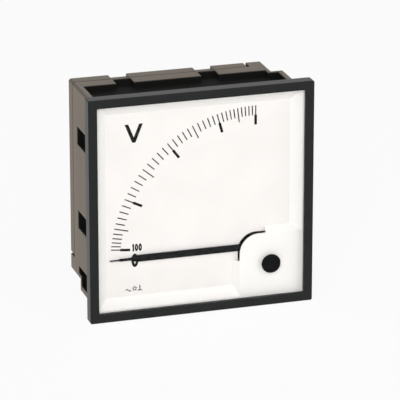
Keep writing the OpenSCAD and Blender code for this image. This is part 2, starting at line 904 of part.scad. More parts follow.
// A flat ear from the front plate to the shelf on the right wall
module frame_ear() {
    reach = cavity_half - fit - pivot;
    at_pivot() translate([0, y_frame, ear_off - ear_w / 2]) cube([reach, frame_t, ear_w]);
}

module movement_frame() {
    color("#b9a25a") difference() {
        union() {
            at_pivot() {
                rod(frame_r, y_frame, y_frame + frame_t);
                translate([-web_w / 2, y_frame, web_out])
                    cube([web_w, y_rear + frame_t - y_frame, frame_t]);
                translate([-web_w / 2, y_frame, 0]) cube([web_w, frame_t, web_out + frame_t]);
                rod(rear_r, y_rear, y_rear + frame_t);
                translate([-web_w / 2, y_rear, 0]) cube([web_w, frame_t, web_out + frame_t]);
            }
            both_sides() frame_ear();
        }
        at_pivot() rod(spindle_r + paddle_collar, y_frame - eps, y_frame + frame_t + eps);
        at_pivot() rod(jewel_r + press_gap, y_rear - eps, y_rear + frame_t + eps);
        both_sides() translate([ear_hole, 0, ear_off - pivot])
            rod(frame_screw_r + press_gap, y_frame - eps, y_frame + frame_t + eps);
    }
}

module movement_screws() {
    color("#c2c5c7") both_sides() translate([ear_hole, y_frame, ear_off - pivot])
        slotted_screw(frame_screw_r, frame_t + ledge_len - 2 * hole_end, frame_screw_r, 1);
}

// Series resistors and leads

module resistor_board() {
    color("#6b5a2e") difference() {
        translate([board_x - board_w / 2, y_board, board_z - board_h / 2])
            cube([board_w, board_t, board_h]);
        for (p = boss_spots) translate([p.x, 0, p.y])
            rod(frame_screw_r + press_gap, y_board - eps, y_board + board_t + eps);
    }
}

module board_screws() {
    color("#c2c5c7") for (p = boss_spots) translate([p.x, y_board, p.y])
        slotted_screw(frame_screw_r, board_t + board_gap - 2 * hole_end, frame_screw_r, 1);
}

// One resistor along X with its bent leads
module resistor() {
    y0 = -resistor_r - fit;
    reach = resistor_len / 2 + resistor_r;
    translate([-resistor_len / 2, y0, 0]) rotate([0, 90, 0]) cylinder(r = resistor_r, h = resistor_len);
    for (s = [-1, 1]) translate([s * reach, 0, 0]) {
        rod(lead_r, y0, 0);
        translate([-s * resistor_r / 2, y0, 0]) rotate([0, 90, 0])
            cylinder(r = lead_r, h = resistor_r + 2 * lead_r, center = true);
    }
}

module series_resistors() {
    across = resistor_len / 2 + resistor_r + 2 * lead_r;
    up = resistor_r * 1.5;
    color("#7c8f86") for (s = [-1, 1], v = [-1, 1])
        translate([board_x + s * across, y_board, board_z - resistor_r + v * up]) resistor();
}

module board_lead() {
    color("#b7482f") translate([-terminal_pitch / 2, 0, terminal_z])
        rod(wire_r, y_board + board_t, y_hump - cover_t - stud_head_t);
}

// The upper left of the winding, where both ends of the coil come out
winding_r = min(tube_r + bobbin_wall + press_gap + winding_depth, coil_r - press_gap);
function coil_point(y, out) = let (side = (winding_r + out) * cos(45)) [pivot - side, y, side - pivot];

module supply_lead() {
    y0 = y_hump - cover_t - stud_head_t;
    y1 = y_back - 2 * wire_r;
    color("#3b3b3b") wire([[terminal_pitch / 2, y0, terminal_z], [terminal_pitch / 2, y1, terminal_z],
        coil_point(y1 - lead_drop, lead_bend), coil_point(y_rear - lead_end, fit)], wire_r);
}

module coil_lead() {
    x0 = board_x + board_w / 2 - boss_inset;
    z0 = board_z - board_h / 2 + boss_inset;
    color("#b7482f") wire([[x0, y_board, z0], [x0, y_board - lead_drop, z0],
        coil_point(y_board - lead_drop - lead_end, lead_bend), coil_point(y_coil + lead_end, 2 * fit)], wire_r);
}

// Terminals

module at_terminals() {
    for (s = [-1, 1]) translate([s * terminal_pitch / 2, 0, terminal_z]) children();
}

module hex_rod(y0, y1) {
    translate([0, y0, 0]) rotate([-90, 0, 0]) cylinder(r = hex_r, h = y1 - y0, $fn = 6);
}

module terminal_studs() {
    color("#c7a14a") at_terminals() {
        hex_rod(y_hump - cover_t - stud_head_t, y_hump - cover_t);
        rod(stud_r, y_hump - cover_t - eps, y_clamped);
        rod(stud_r * 0.8, y_clamped - eps, y_clamped + stud_relief + eps);
        rod(stud_r, y_clamped + stud_relief, y_clamped + stud_end);
    }
}

// Each stud has a fixing nut and, behind it, a washer and a clamping nut
module terminal_washers() {
    color("#cfd2d4") at_terminals() for (y = [y_hump, y_hump + washer_t + nut_h])
        sleeve(hex_r + washer_t, stud_r + press_gap, y, y + washer_t);
}

module terminal_nuts() {
    levels = [y_hump + washer_t, y_hump + 2 * washer_t + nut_h];
    color("#c7a14a") at_terminals() for (y = levels) difference() {
        hex_rod(y, y + nut_h);
        rod(stud_r + press_gap, y - eps, y + nut_h + eps);
    }
}

bezel();
window_glass();
dial_mask();
dial_plate();
case();
rear_cover();
cover_screws();
zero_adjuster();
adjuster_clip();
zero_lever();
hairspring();
front_bridge();
bridge_posts();
bridge_screws();
front_bearing();
rear_bearing();
spindle();
pointer();
pointer_hub();
balance_weights();
moving_iron();
damping_paddle();
damping_chamber();
chamber_cover();
fixed_iron();
coil_bobbin();
coil_winding();
movement_frame();
movement_screws();
resistor_board();
series_resistors();
board_screws();
board_lead();
supply_lead();
coil_lead();
terminal_studs();
terminal_washers();
terminal_nuts();
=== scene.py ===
"""A square panel voltmeter, dressed: mouldings, printed dial, window, pointer and terminals.

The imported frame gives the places. Lengths are millimetres: each shape is drawn in millimetres and
turned to metres as it is placed.
"""
import json
import logging
import math
from collections.abc import Iterable
from dataclasses import dataclass, field
from enum import Enum

import bmesh
import bpy
from bmesh.types import BMesh, BMVert
from mathutils import Matrix, Vector


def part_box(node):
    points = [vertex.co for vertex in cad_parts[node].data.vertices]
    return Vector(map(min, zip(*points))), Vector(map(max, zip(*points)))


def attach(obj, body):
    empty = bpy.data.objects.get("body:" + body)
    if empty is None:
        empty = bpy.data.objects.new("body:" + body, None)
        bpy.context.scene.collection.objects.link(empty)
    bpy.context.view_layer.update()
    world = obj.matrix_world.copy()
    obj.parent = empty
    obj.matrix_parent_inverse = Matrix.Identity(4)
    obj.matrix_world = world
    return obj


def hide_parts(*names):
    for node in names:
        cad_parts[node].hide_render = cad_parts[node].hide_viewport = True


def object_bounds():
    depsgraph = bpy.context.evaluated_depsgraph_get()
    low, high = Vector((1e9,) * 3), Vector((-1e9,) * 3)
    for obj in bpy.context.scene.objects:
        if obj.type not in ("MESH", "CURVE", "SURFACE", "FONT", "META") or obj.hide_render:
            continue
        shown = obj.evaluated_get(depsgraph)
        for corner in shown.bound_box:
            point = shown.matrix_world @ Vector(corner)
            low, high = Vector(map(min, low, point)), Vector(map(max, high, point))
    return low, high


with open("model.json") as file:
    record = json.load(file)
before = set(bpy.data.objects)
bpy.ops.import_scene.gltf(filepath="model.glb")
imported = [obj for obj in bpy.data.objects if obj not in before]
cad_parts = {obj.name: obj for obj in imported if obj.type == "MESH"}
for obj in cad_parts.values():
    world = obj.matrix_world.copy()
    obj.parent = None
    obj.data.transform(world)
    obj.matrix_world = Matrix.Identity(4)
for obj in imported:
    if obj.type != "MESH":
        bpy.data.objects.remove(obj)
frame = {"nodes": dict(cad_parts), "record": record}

CAD_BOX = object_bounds()
LOG = logging.getLogger("voltmeter")
MM = 0.001
# Angles from which an edge is shaded as a crease, is rounded, and is kept in a copied CAD mesh
CREASE = math.radians(50)
SHARP = math.radians(30)
FLAT = math.radians(1)
# Distance within which the corners of a copied CAD mesh are one corner
WELD = 0.002
# Kinds of rays that see the white surroundings as they are
SEEN = ("Camera", "Glossy", "Transmission")
SENSOR = 36.0

Colour = tuple[float, float, float, float]
Point = tuple[float, float, float]
Outline = tuple[tuple[float, float], ...]
Socket = bpy.types.NodeSocket
WHITE: Colour = (1.0, 1.0, 1.0, 1.0)


class Body(Enum):
    """The bodies of the frame that pieces ride on."""

    CASING = "casing"
    MOVING = "moving_system"
    ADJUSTER = "adjuster"
    LEVER = "lever"


class Lay(Enum):
    """How tool marks run on a metal: the stretch of their grain along X, Y and Z."""

    TURNED = (0.08, 1.0, 0.08)
    ROLLED = (1.0, 1.0, 0.06)
    DRAWN = (1.0, 0.05, 1.0)
    EVEN = (1.0, 1.0, 1.0)


def srgb(red: int, green: int, blue: int) -> Colour:
    """Return the linear colour of three sRGB bytes."""
    parts = [byte / 255 for byte in (red, green, blue)]
    linear = [p / 12.92 if p <= 0.04045 else ((p + 0.055) / 1.055) ** 2.4 for p in parts]
    return (linear[0], linear[1], linear[2], 1.0)


def shaded(colour: Colour, factor: float) -> Colour:
    """Return a colour made darker or lighter by a factor."""
    return (colour[0] * factor, colour[1] * factor, colour[2] * factor, 1.0)


class Graph:
    """The nodes of a material or world, added and joined with short calls.

    Attributes:
        MIDDLE: the range in which most of a pattern's values lie.
        WAVE: distance from band to band in a wave pattern of scale 1.
        WANDER: how far a wave pattern's bands wander.
    """

    MIDDLE = (0.3, 0.7)
    WAVE = math.pi / 10
    WANDER = 0.3

    def __init__(self, owner: bpy.types.Material | bpy.types.World) -> None:
        """Start with an empty tree.

        Args:
            owner: the material or world whose nodes these are.
        """
        owner.use_nodes = True
        self.tree = owner.node_tree
        self.tree.nodes.clear()

    def add(self, kind: str, **inputs: object) -> bpy.types.Node:
        """Add a node and set its sockets.

        Args:
            kind: the node's type.
            **inputs: values of sockets, by name with underscores for spaces.

        Returns:
            The new node.
        """
        node = self.tree.nodes.new(kind)
        for name, value in inputs.items():
            node.inputs[name.replace("_", " ")].default_value = value
        return node

    def join(self, source: Socket, target: Socket) -> None:
        """Link one socket to another."""
        self.tree.links.new(source, target)

    def place(self, stretch: Point = (1.0, 1.0, 1.0)) -> Socket:
        """Return the place on the object, stretched along the axes."""
        mapping = self.add("ShaderNodeMapping", Scale=stretch)
        self.join(self.add("ShaderNodeTexCoord").outputs["Object"], mapping.inputs["Vector"])
        return mapping.outputs["Vector"]

    def noise(self, size: float, detail: float = 3.0, lay: Lay = Lay.EVEN) -> Socket:
        """Return a cloudy pattern.

        Args:
            size: width of its grains.
            detail: number of finer layers in it.
            lay: the way its grains run.

        Returns:
            The pattern's value, from 0 to 1.
        """
        noise = self.add("ShaderNodeTexNoise", Scale=1 / (size * MM), Detail=detail)
        self.join(self.place(lay.value), noise.inputs["Vector"])
        return noise.outputs["Fac"]

    def bands(self, pitch: float, axis: str) -> Socket:
        """Return even bands across an axis.

        Args:
            pitch: distance from band to band.
            axis: X, Y or Z.

        Returns:
            The pattern's value, from 0 to 1.
        """
        wave = self.add("ShaderNodeTexWave", Scale=self.WAVE / (pitch * MM), Distortion=self.WANDER)
        wave.bands_direction = axis
        self.join(self.place(), wave.inputs["Vector"])
        return wave.outputs["Fac"]

    def spread(self, value: Socket, low: float, high: float) -> Socket:
        """Return a pattern's middle range laid out between two numbers."""
        start, end = self.MIDDLE
        node = self.add("ShaderNodeMapRange", From_Min=start, From_Max=end, To_Min=low, To_Max=high)
        self.join(value, node.inputs["Value"])
        return node.outputs["Result"]

    def tones(self, value: Socket, dark: Colour, light: Colour) -> Socket:
        """Return a pattern's middle range laid out between two colours."""
        ramp = self.add("ShaderNodeValToRGB")
        for stop, position, colour in zip(ramp.color_ramp.elements, self.MIDDLE, (dark, light)):
            stop.position = position
            stop.color = colour
        self.join(value, ramp.inputs["Fac"])
        return ramp.outputs["Color"]

    def relief(self, value: Socket, depth: float) -> Socket:
        """Return the normal of a surface that a pattern raises by a depth."""
        bump = self.add("ShaderNodeBump", Strength=1.0, Distance=depth * MM)
        self.join(value, bump.inputs["Height"])
        return bump.outputs["Normal"]

    def shader(self, **inputs: object) -> bpy.types.Node:
        """Add the surface's shader with its output.

        Args:
            **inputs: values of the shader's sockets.

        Returns:
            The shader's node.
        """
        shader = self.add("ShaderNodeBsdfPrincipled", **inputs)
        self.show(shader.outputs["BSDF"])
        return shader

    def show(self, surface: Socket) -> None:
        """Join a shader to the material's output."""
        self.join(surface, self.add("ShaderNodeOutputMaterial").inputs["Surface"])

    def rays(self, *kinds: str) -> Socket:
        """Return 1 on rays of the named kinds and 0 on other rays."""
        path = self.add("ShaderNodeLightPath")
        total = path.outputs[f"Is {kinds[0]} Ray"]
        for kind in kinds[1:]:
            either = self.add("ShaderNodeMath")
            either.operation = "MAXIMUM"
            self.join(total, either.inputs[0])
            self.join(path.outputs[f"Is {kind} Ray"], either.inputs[1])
            total = either.outputs[0]
        return total


@dataclass(frozen=True)
class Finish:
    """A surface finish, which makes its material when it is first used.

    Attributes:
        name: the material's name.
        slot: the record's material slot that it stands for; not used.
        colour: its main colour.
        roughness: middle of its roughness.
    """

    name: str
    slot: str
    colour: Colour
    roughness: float

    def material(self) -> bpy.types.Material:
        """Return the finish's material."""
        found = bpy.data.materials.get(self.name)
        if found:
            return found
        made = bpy.data.materials.new(self.name)
        self.fill(Graph(made))
        return made

    def fill(self, graph: Graph) -> None:
        """Build the finish's nodes."""
        raise NotImplementedError

    def lay(
        self,
        graph: Graph,
        shader: bpy.types.Node,
        colour: tuple[Socket, float, float],
        rough: tuple[Socket, float, float],
        raised: tuple[Socket, float],
    ) -> None:
        """Join the patterns of colour, roughness and relief to the finish's shader.

        Args:
            graph: the material's nodes.
            shader: its shader.
            colour: a pattern, and the shares of the main colour at its dark and its light end.
            rough: a pattern, and what it takes from and adds to the roughness.
            raised: a pattern, and how high it stands.
        """
        tone, dark, light = colour
        tones = graph.tones(tone, shaded(self.colour, dark), shaded(self.colour, light))
        graph.join(tones, shader.inputs["Base Color"])
        wear, less, more = rough
        spread = graph.spread(wear, self.roughness - less, self.roughness + more)
        graph.join(spread, shader.inputs["Roughness"])
        graph.join(graph.relief(*raised), shader.inputs["Normal"])


@dataclass(frozen=True)
class MouldedPlastic(Finish):
    """A moulded plastic with the fine grain of its mould and faint flow clouds.

    Attributes:
        gloss: specular level.
        grain: width of the mould's grain.
        depth: depth of the grain.
        cloud: share by which the colour comes and goes.
        flow: width of the clouds.
        swing: how far the roughness comes and goes.
        bloom: strength of the dusty look at flat angles.
        bloom_colour: colour of that look.
        bloom_spread: how widely it shows.
    """

    gloss: float = 0.3
    grain: float = 0.3
    depth: float = 0.004
    cloud: float = 0.08
    flow: float = 9.0
    swing: float = 0.05
    bloom: float = 0.0
    bloom_colour: Colour = WHITE
    bloom_spread: float = 0.4

    def fill(self, graph: Graph) -> None:
        """Build the finish's nodes."""
        shader = graph.shader(
            Specular_IOR_Level=self.gloss,
            Sheen_Weight=self.bloom,
            Sheen_Roughness=self.bloom_spread,
            Sheen_Tint=self.bloom_colour,
        )
        clouds = graph.noise(self.flow, detail=2.0)
        grain = graph.noise(self.grain, detail=4.0)
        tones = (clouds, 1 - self.cloud, 1 + self.cloud)
        self.lay(graph, shader, tones, (grain, self.swing, self.swing), (grain, self.depth))


@dataclass(frozen=True)
class Enamel(Finish):
    """A sprayed or printed coat with a faint orange-peel surface.

    Attributes:
        gloss: specular level.
        peel: width of the orange peel.
        depth: depth of the orange peel.
        cloud: share by which the colour comes and goes.
        flow: width of the clouds.
        swing: how far the roughness comes and goes.
    """

    gloss: float = 0.2
    peel: float = 0.8
    depth: float = 0.003
    cloud: float = 0.02
    flow: float = 14.0
    swing: float = 0.06

    def fill(self, graph: Graph) -> None:
        """Build the finish's nodes."""
        shader = graph.shader(Specular_IOR_Level=self.gloss)
        coat = graph.noise(self.flow, detail=2.0)
        peel = graph.noise(self.peel, detail=2.0)
        tones = (coat, 1 - self.cloud, 1 + self.cloud)
        self.lay(graph, shader, tones, (peel, self.swing, self.swing), (peel, self.depth))


@dataclass(frozen=True)
class ClearPane(Finish):
    """A clear window with a low-glare surface, which lets the light of the lamps through.

    Attributes:
        index: index of refraction.
        film: width of the clouds in its surface.
    """

    index: float = 1.15
    film: float = 30.0

    def fill(self, graph: Graph) -> None:
        """Build the finish's nodes."""
        pane = graph.add(
            "ShaderNodeBsdfPrincipled",
            Base_Color=self.colour,
            IOR=self.index,
            Transmission_Weight=1.0,
        )
        film = graph.noise(self.film, detail=2.0)
        graph.join(graph.spread(film, 0.0, self.roughness), pane.inputs["Roughness"])
        clear = graph.add("ShaderNodeBsdfTransparent", Color=self.colour)
        mix = graph.add("ShaderNodeMixShader")
        graph.join(graph.rays("Shadow", "Diffuse"), mix.inputs["Fac"])
        graph.join(pane.outputs["BSDF"], mix.inputs[1])
        graph.join(clear.outputs["BSDF"], mix.inputs[2])
        graph.show(mix.outputs["Shader"])


@dataclass(frozen=True)
class WorkedMetal(Finish):
    """A bare or plated metal with the marks of its tool.

    Attributes:
        run: the way the marks run.
        marks: width of the marks.
        depth: depth of the marks.
        cloud: share by which the colour comes and goes.
        tarnish: width of the clouds.
        polish: how much smoother the marks' low ground is.
        wear: how much rougher their high ground is.
    """

    run: Lay = Lay.EVEN
    marks: float = 0.2
    depth: float = 0.004
    cloud: float = 0.12
    tarnish: float = 3.0
    polish: float = 0.08
    wear: float = 0.1

    def fill(self, graph: Graph) -> None:
        """Build the finish's nodes."""
        shader = graph.shader(Metallic=1.0)
        tarnish = graph.noise(self.tarnish, detail=4.0)
        marks = graph.noise(self.marks, lay=self.run)
        tones = (tarnish, 1 - self.cloud, 1 + self.cloud)
        self.lay(graph, shader, tones, (marks, self.polish, self.wear), (marks, self.depth))


@dataclass(frozen=True)
class WoundWire(Finish):
    """Turns of enamelled wire, side by side along Y.

    Attributes:
        wire: distance from turn to turn.
        metal: how metallic it looks through its enamel.
        enamel: strength of the clear coat.
        shade: share of the colour between two turns, a painted shade in the grooves between them.
        cloud: width of the clouds in its gloss.
        swing: how far the roughness comes and goes.
    """

    wire: float = 0.3
    metal: float = 0.7
    enamel: float = 0.5
    shade: float = 0.35
    cloud: float = 1.5
    swing: float = 0.08

    def fill(self, graph: Graph) -> None:
        """Build the finish's nodes."""
        shader = graph.shader(Metallic=self.metal, Coat_Weight=self.enamel)
        turns = graph.bands(self.wire, "Y")
        rough = (graph.noise(self.cloud), self.swing, self.swing)
        # the colour darkens between the turns: painted shade in the grooves
        self.lay(graph, shader, (turns, self.shade, 1.0), rough, (turns, self.wire / 3))


@dataclass(frozen=True)
class Laminate(Finish):
    """A resin-bonded board whose cloth shows through.

    Attributes:
        weave: distance from thread to thread.
        depth: depth of the cloth's relief.
        shade: share of the colour between the threads.
        gloss: specular level.
        cloud: width of the clouds in its gloss.
        swing: how far the roughness comes and goes.
    """

    weave: float = 0.5
    depth: float = 0.01
    shade: float = 0.8
    gloss: float = 0.4
    cloud: float = 2.0
    swing: float = 0.08

    def fill(self, graph: Graph) -> None:
        """Build the finish's nodes."""
        shader = graph.shader(Specular_IOR_Level=self.gloss)
        cross = graph.add("ShaderNodeMath")
        cross.operation = "MULTIPLY"
        graph.join(graph.bands(self.weave, "X"), cross.inputs[0])
        graph.join(graph.bands(self.weave, "Z"), cross.inputs[1])
        cloth = cross.outputs[0]
        rough = (graph.noise(self.cloud), self.swing, self.swing)
        self.lay(graph, shader, (cloth, self.shade, 1.0), rough, (cloth, self.depth))


@dataclass(frozen=True)
class Ceramic(Finish):
    """A matt fired body with dark specks.

    Attributes:
        speck: width of the specks.
        depth: depth of the specks.
        shade: share of the colour in the specks.
        gloss: specular level.
        swing: how far the roughness comes and goes.
    """

    speck: float = 0.25
    depth: float = 0.02
    shade: float = 0.75
    gloss: float = 0.3
    swing: float = 0.1

    def fill(self, graph: Graph) -> None:
        """Build the finish's nodes."""
        shader = graph.shader(Specular_IOR_Level=self.gloss)
        specks = graph.noise(self.speck, detail=5.0)
        rough = (specks, self.swing, self.swing)
        self.lay(graph, shader, (specks, self.shade, 1.0), rough, (specks, self.depth))


@dataclass(frozen=True)
class LeadSheath(Finish):
    """The soft plastic sheath of a hook-up lead.

    Attributes:
        gloss: specular level.
        cloud: width of its clouds.
        depth: depth of its dimples.
        dark: share of the colour in the dark clouds.
        light: share of the colour in the light clouds.
        swing: how far the roughness comes and goes.
    """

    gloss: float = 0.4
    cloud: float = 1.2
    depth: float = 0.01
    dark: float = 0.85
    light: float = 1.1
    swing: float = 0.06

    def fill(self, graph: Graph) -> None:
        """Build the finish's nodes."""
        shader = graph.shader(Specular_IOR_Level=self.gloss)
        clouds = graph.noise(self.cloud)
        rough = (clouds, self.swing, self.swing)
        self.lay(graph, shader, (clouds, self.dark, self.light), rough, (clouds, self.depth))


FRAME_BLACK = MouldedPlastic(
    "front_frame_black", "frame_plastic", srgb(26, 28, 27), 0.36, gloss=0.2
)
KNOB_BLACK = MouldedPlastic("adjuster_black", "frame_plastic", srgb(13, 14, 13), 0.5, gloss=0.08)
CASE_GREY = MouldedPlastic(
    "case_dark_grey",
    "case_plastic",
    srgb(38, 34, 28),
    0.38,
    gloss=0.35,
    grain=0.45,
    depth=0.008,
    bloom=0.22,
    bloom_colour=srgb(255, 206, 136),
)
# Near-black finish for the faces inside the case's recesses: painted shade where the recesses lie
# in shadow
RECESS_PAINTED_SHADE = MouldedPlastic("recess_painted_shade", "case_plastic", srgb(20, 20, 19), 0.7, gloss=0.06)
MASK_WHITE = MouldedPlastic(
    "mask_white", "white_plastic", srgb(253, 251, 248), 0.45, gloss=0.25, cloud=0.01, depth=0.003
)
DIAL_WHITE = Enamel("dial_white", "dial_enamel", srgb(248, 244, 241), 0.5)
DIAL_INK = Enamel("dial_ink", "pointer_black", srgb(14, 14, 14), 0.6, gloss=0.1, cloud=0.2)
POINTER_BLACK = Enamel(
    "pointer_paint", "pointer_black", srgb(14, 15, 15), 0.6, gloss=0.08, cloud=0.12
)
WINDOW_CLEAR = ClearPane("window_clear", "window", srgb(254, 254, 254), 0.02)
INNER_PLASTIC = MouldedPlastic("inner_plastic", "inner_plastic", srgb(40, 40, 42), 0.5)
BOBBIN_PLASTIC = MouldedPlastic("bobbin_plastic", "bobbin_plastic", srgb(205, 198, 178), 0.5)
BRASS = WorkedMetal("turned_brass", "brass", srgb(205, 165, 85), 0.3, run=Lay.TURNED)
# Near-black brass for the works seen through the gap at the pointer's slot: painted shade standing
# in for the shadow in that gap
PAINTED_SHADE_BRASS = WorkedMetal("brass_painted_shade", "brass", srgb(34, 33, 31), 0.5, run=Lay.ROLLED)
ZINC = WorkedMetal("zinc_plate", "zinc_steel", srgb(196, 200, 204), 0.32, marks=0.5, cloud=0.08)
ALUMINIUM = WorkedMetal("rolled_aluminium", "aluminium", srgb(208, 210, 212), 0.34, run=Lay.ROLLED)
IRON = WorkedMetal("annealed_iron", "soft_iron", srgb(104, 102, 100), 0.46, run=Lay.ROLLED)
BRONZE = WorkedMetal("drawn_bronze", "spring_bronze", srgb(190, 138, 82), 0.28, run=Lay.DRAWN)
COPPER_WIRE = WoundWire("enamelled_wire", "enamelled_copper", srgb(176, 92, 46), 0.3)
BOARD = Laminate("laminate_board", "board", srgb(158, 118, 66), 0.5)
CERAMIC = Ceramic("resistor_body", "resistor_ceramic", srgb(150, 158, 138), 0.6)
RED_LEAD = LeadSheath("red_lead", "lead_red", srgb(176, 32, 28), 0.38)
BLACK_LEAD = LeadSheath("black_lead", "lead_black", srgb(28, 28, 30), 0.38)
FLOOR_DARK, FLOOR_PALE = srgb(247, 247, 246), srgb(251, 251, 250)


def span(node: str) -> tuple[Vector, Vector]:
    """Return a CAD node's lowest and highest corners."""
    low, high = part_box(node)
    return Vector(low) / MM, Vector(high) / MM


def middle(node: str) -> Vector:
    """Return the middle of a CAD node's box."""
    low, high = span(node)
    return (low + high) / 2


def about_y(spot: Vector) -> Matrix:
    """Return the move from the XY plane to a front view at a spot."""
    return Matrix.Translation(spot) @ Matrix.Rotation(math.radians(90), 4, "X")


def softened(node: str, edge: float, segments: int = 2) -> BMesh:
    """Return a CAD node's shape with its sharp edges rounded.

    Args:
        node: the node to copy.
        edge: width of the rounding.
        segments: steps in the rounding.

    Returns:
        The shape, in millimetres.
    """
    shape = bmesh.new()
    shape.from_mesh(frame["nodes"][node].data)
    bmesh.ops.scale(shape, vec=Vector((1, 1, 1)) / MM, verts=shape.verts)
    bmesh.ops.remove_doubles(shape, verts=shape.verts, dist=WELD)
    bmesh.ops.dissolve_limit(shape, angle_limit=FLAT, verts=shape.verts, edges=shape.edges)
    bmesh.ops.connect_verts_concave(shape, faces=shape.faces)
    sharp = [e for e in shape.edges if e.is_manifold and e.calc_face_angle(0.0) > SHARP]
    bmesh.ops.bevel(
        shape,
        geom=sharp,
        offset=edge,
        offset_type="OFFSET",
        affect="EDGES",
        segments=segments,
        profile=0.5,
        material=-1,
        clamp_overlap=False,
    )
    for face in shape.faces:
        face.material_index = 0
    return shape


def place(
    shape: BMesh,
    name: str,
    body: Body,
    finish: Finish,
    stands_for: Iterable[str] = (),
    second: Finish | None = None,
) -> bpy.types.Object:
    """Make a shape a piece of the object.

    Args:
        shape: the shape, in millimetres.
        name: the piece's name.
        body: the body that it rides on.
        finish: its finish.
        stands_for: the CAD nodes that it replaces.
        second: the finish of its faces marked 1.

    Returns:
        The piece.
    """
    bmesh.ops.scale(shape, vec=Vector((MM, MM, MM)), verts=shape.verts)
    mesh = bpy.data.meshes.new(name)
    shape.to_mesh(mesh)
    shape.free()
    mesh.shade_smooth()
    mesh.set_sharp_from_angle(angle=CREASE)
    mesh.materials.append(finish.material())
    if second:
        mesh.materials.append(second.material())
    piece = bpy.data.objects.new(name, mesh)
    bpy.context.scene.collection.objects.link(piece)
    piece.modifiers.new("even_shading", "WEIGHTED_NORMAL").keep_sharp = True
    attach(piece, body.value)
    if stands_for:
        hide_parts(*stands_for)
    LOG.info("%s: %d faces on %s", name, len(mesh.polygons), body.value)
    return piece


def dress(finish: Finish, *nodes: str) -> None:
    """Give CAD nodes a finish.

    Args:
        finish: the finish.
        *nodes: the nodes that show it.
    """
    for node in nodes:
        part = frame["nodes"][node]
        if not part.material_slots:
            part.data.materials.append(finish.material())
        for slot in part.material_slots:
            slot.material = finish.material()
        LOG.info("%s: %s", node, finish.name)


@dataclass
class Housing:
    """The black frame, the window, the stepped case and its rear cover.

    Attributes:
        frame_edge: rounding of the frame's edges.
        frame_steps: steps in that rounding.
        case_edge: rounding of the case's edges.
        screw_edge: rounding of the cover's screw heads.
        pane_edge: rounding of the window's edges.
        pane_gap: space between the window and the mask.
        recess_from: depth below the case's sides at which the painted shade in its recesses starts.
        recess_to: depth below the case's sides at which that painted shade ends.
        back_facing: part of its normal along Y from which a face looks back, out of a relief.
    """

    frame_edge: float = 0.35
    frame_steps: int = 3
    case_edge: float = 0.3
    screw_edge: float = 0.2
    pane_edge: float = 0.1
    pane_gap: float = 0.1
    recess_from: float = 0.5
    recess_to: float = 2.7
    back_facing: float = 0.5

    def pane(self) -> BMesh:
        """Return the window, a hair clear of the mask behind it."""
        shape = softened("window_glass", self.pane_edge)
        low, high = span("window_glass")
        rear = [v for v in shape.verts if v.co.y > (low.y + high.y) / 2]
        bmesh.ops.translate(shape, vec=(0, -self.pane_gap, 0), verts=rear)
        return shape

    def shell(self) -> BMesh:
        """Return the case, with the faces inside its recesses marked 1 for their painted shade."""
        shape = softened("case", self.case_edge)
        side = span("rear_cover")[1].x
        for face in shape.faces:
            spot = face.calc_center_median()
            deep = side - max(abs(spot.x), abs(spot.z))
            behind_frame = spot.y > 0 and face.normal.y < self.back_facing
            # faces deep in the recesses take the near-black finish, painted shade
            if behind_frame and self.recess_from < deep < self.recess_to:
                face.material_index = 1
        return shape

    def build(self) -> None:
        """Build the mouldings and the window."""
        bezel = softened("bezel", self.frame_edge, self.frame_steps)
        place(bezel, "front_frame", Body.CASING, FRAME_BLACK, ["bezel"])
        place(self.pane(), "window_pane", Body.CASING, WINDOW_CLEAR, ["window_glass"])
        # the case's recess faces carry painted shade
        place(self.shell(), "case_shell", Body.CASING, CASE_GREY, ["case"], RECESS_PAINTED_SHADE)
        cover = softened("rear_cover", self.case_edge)
        place(cover, "rear_shell", Body.CASING, CASE_GREY, ["rear_cover"])
        screws = softened("cover_screws", self.screw_edge)
        place(screws, "rear_screws", Body.CASING, ZINC, ["cover_screws"])


@dataclass(frozen=True)
class Oval:
    """An oval ring of the print.

    Attributes:
        x: its middle, sideways.
        z: its middle, upwards.
        width: its width.
        height: its height.
        line: the width of its line.
        steps: steps in a full turn.
    """

    x: float
    z: float
    width: float
    height: float
    line: float
    steps: int = 40


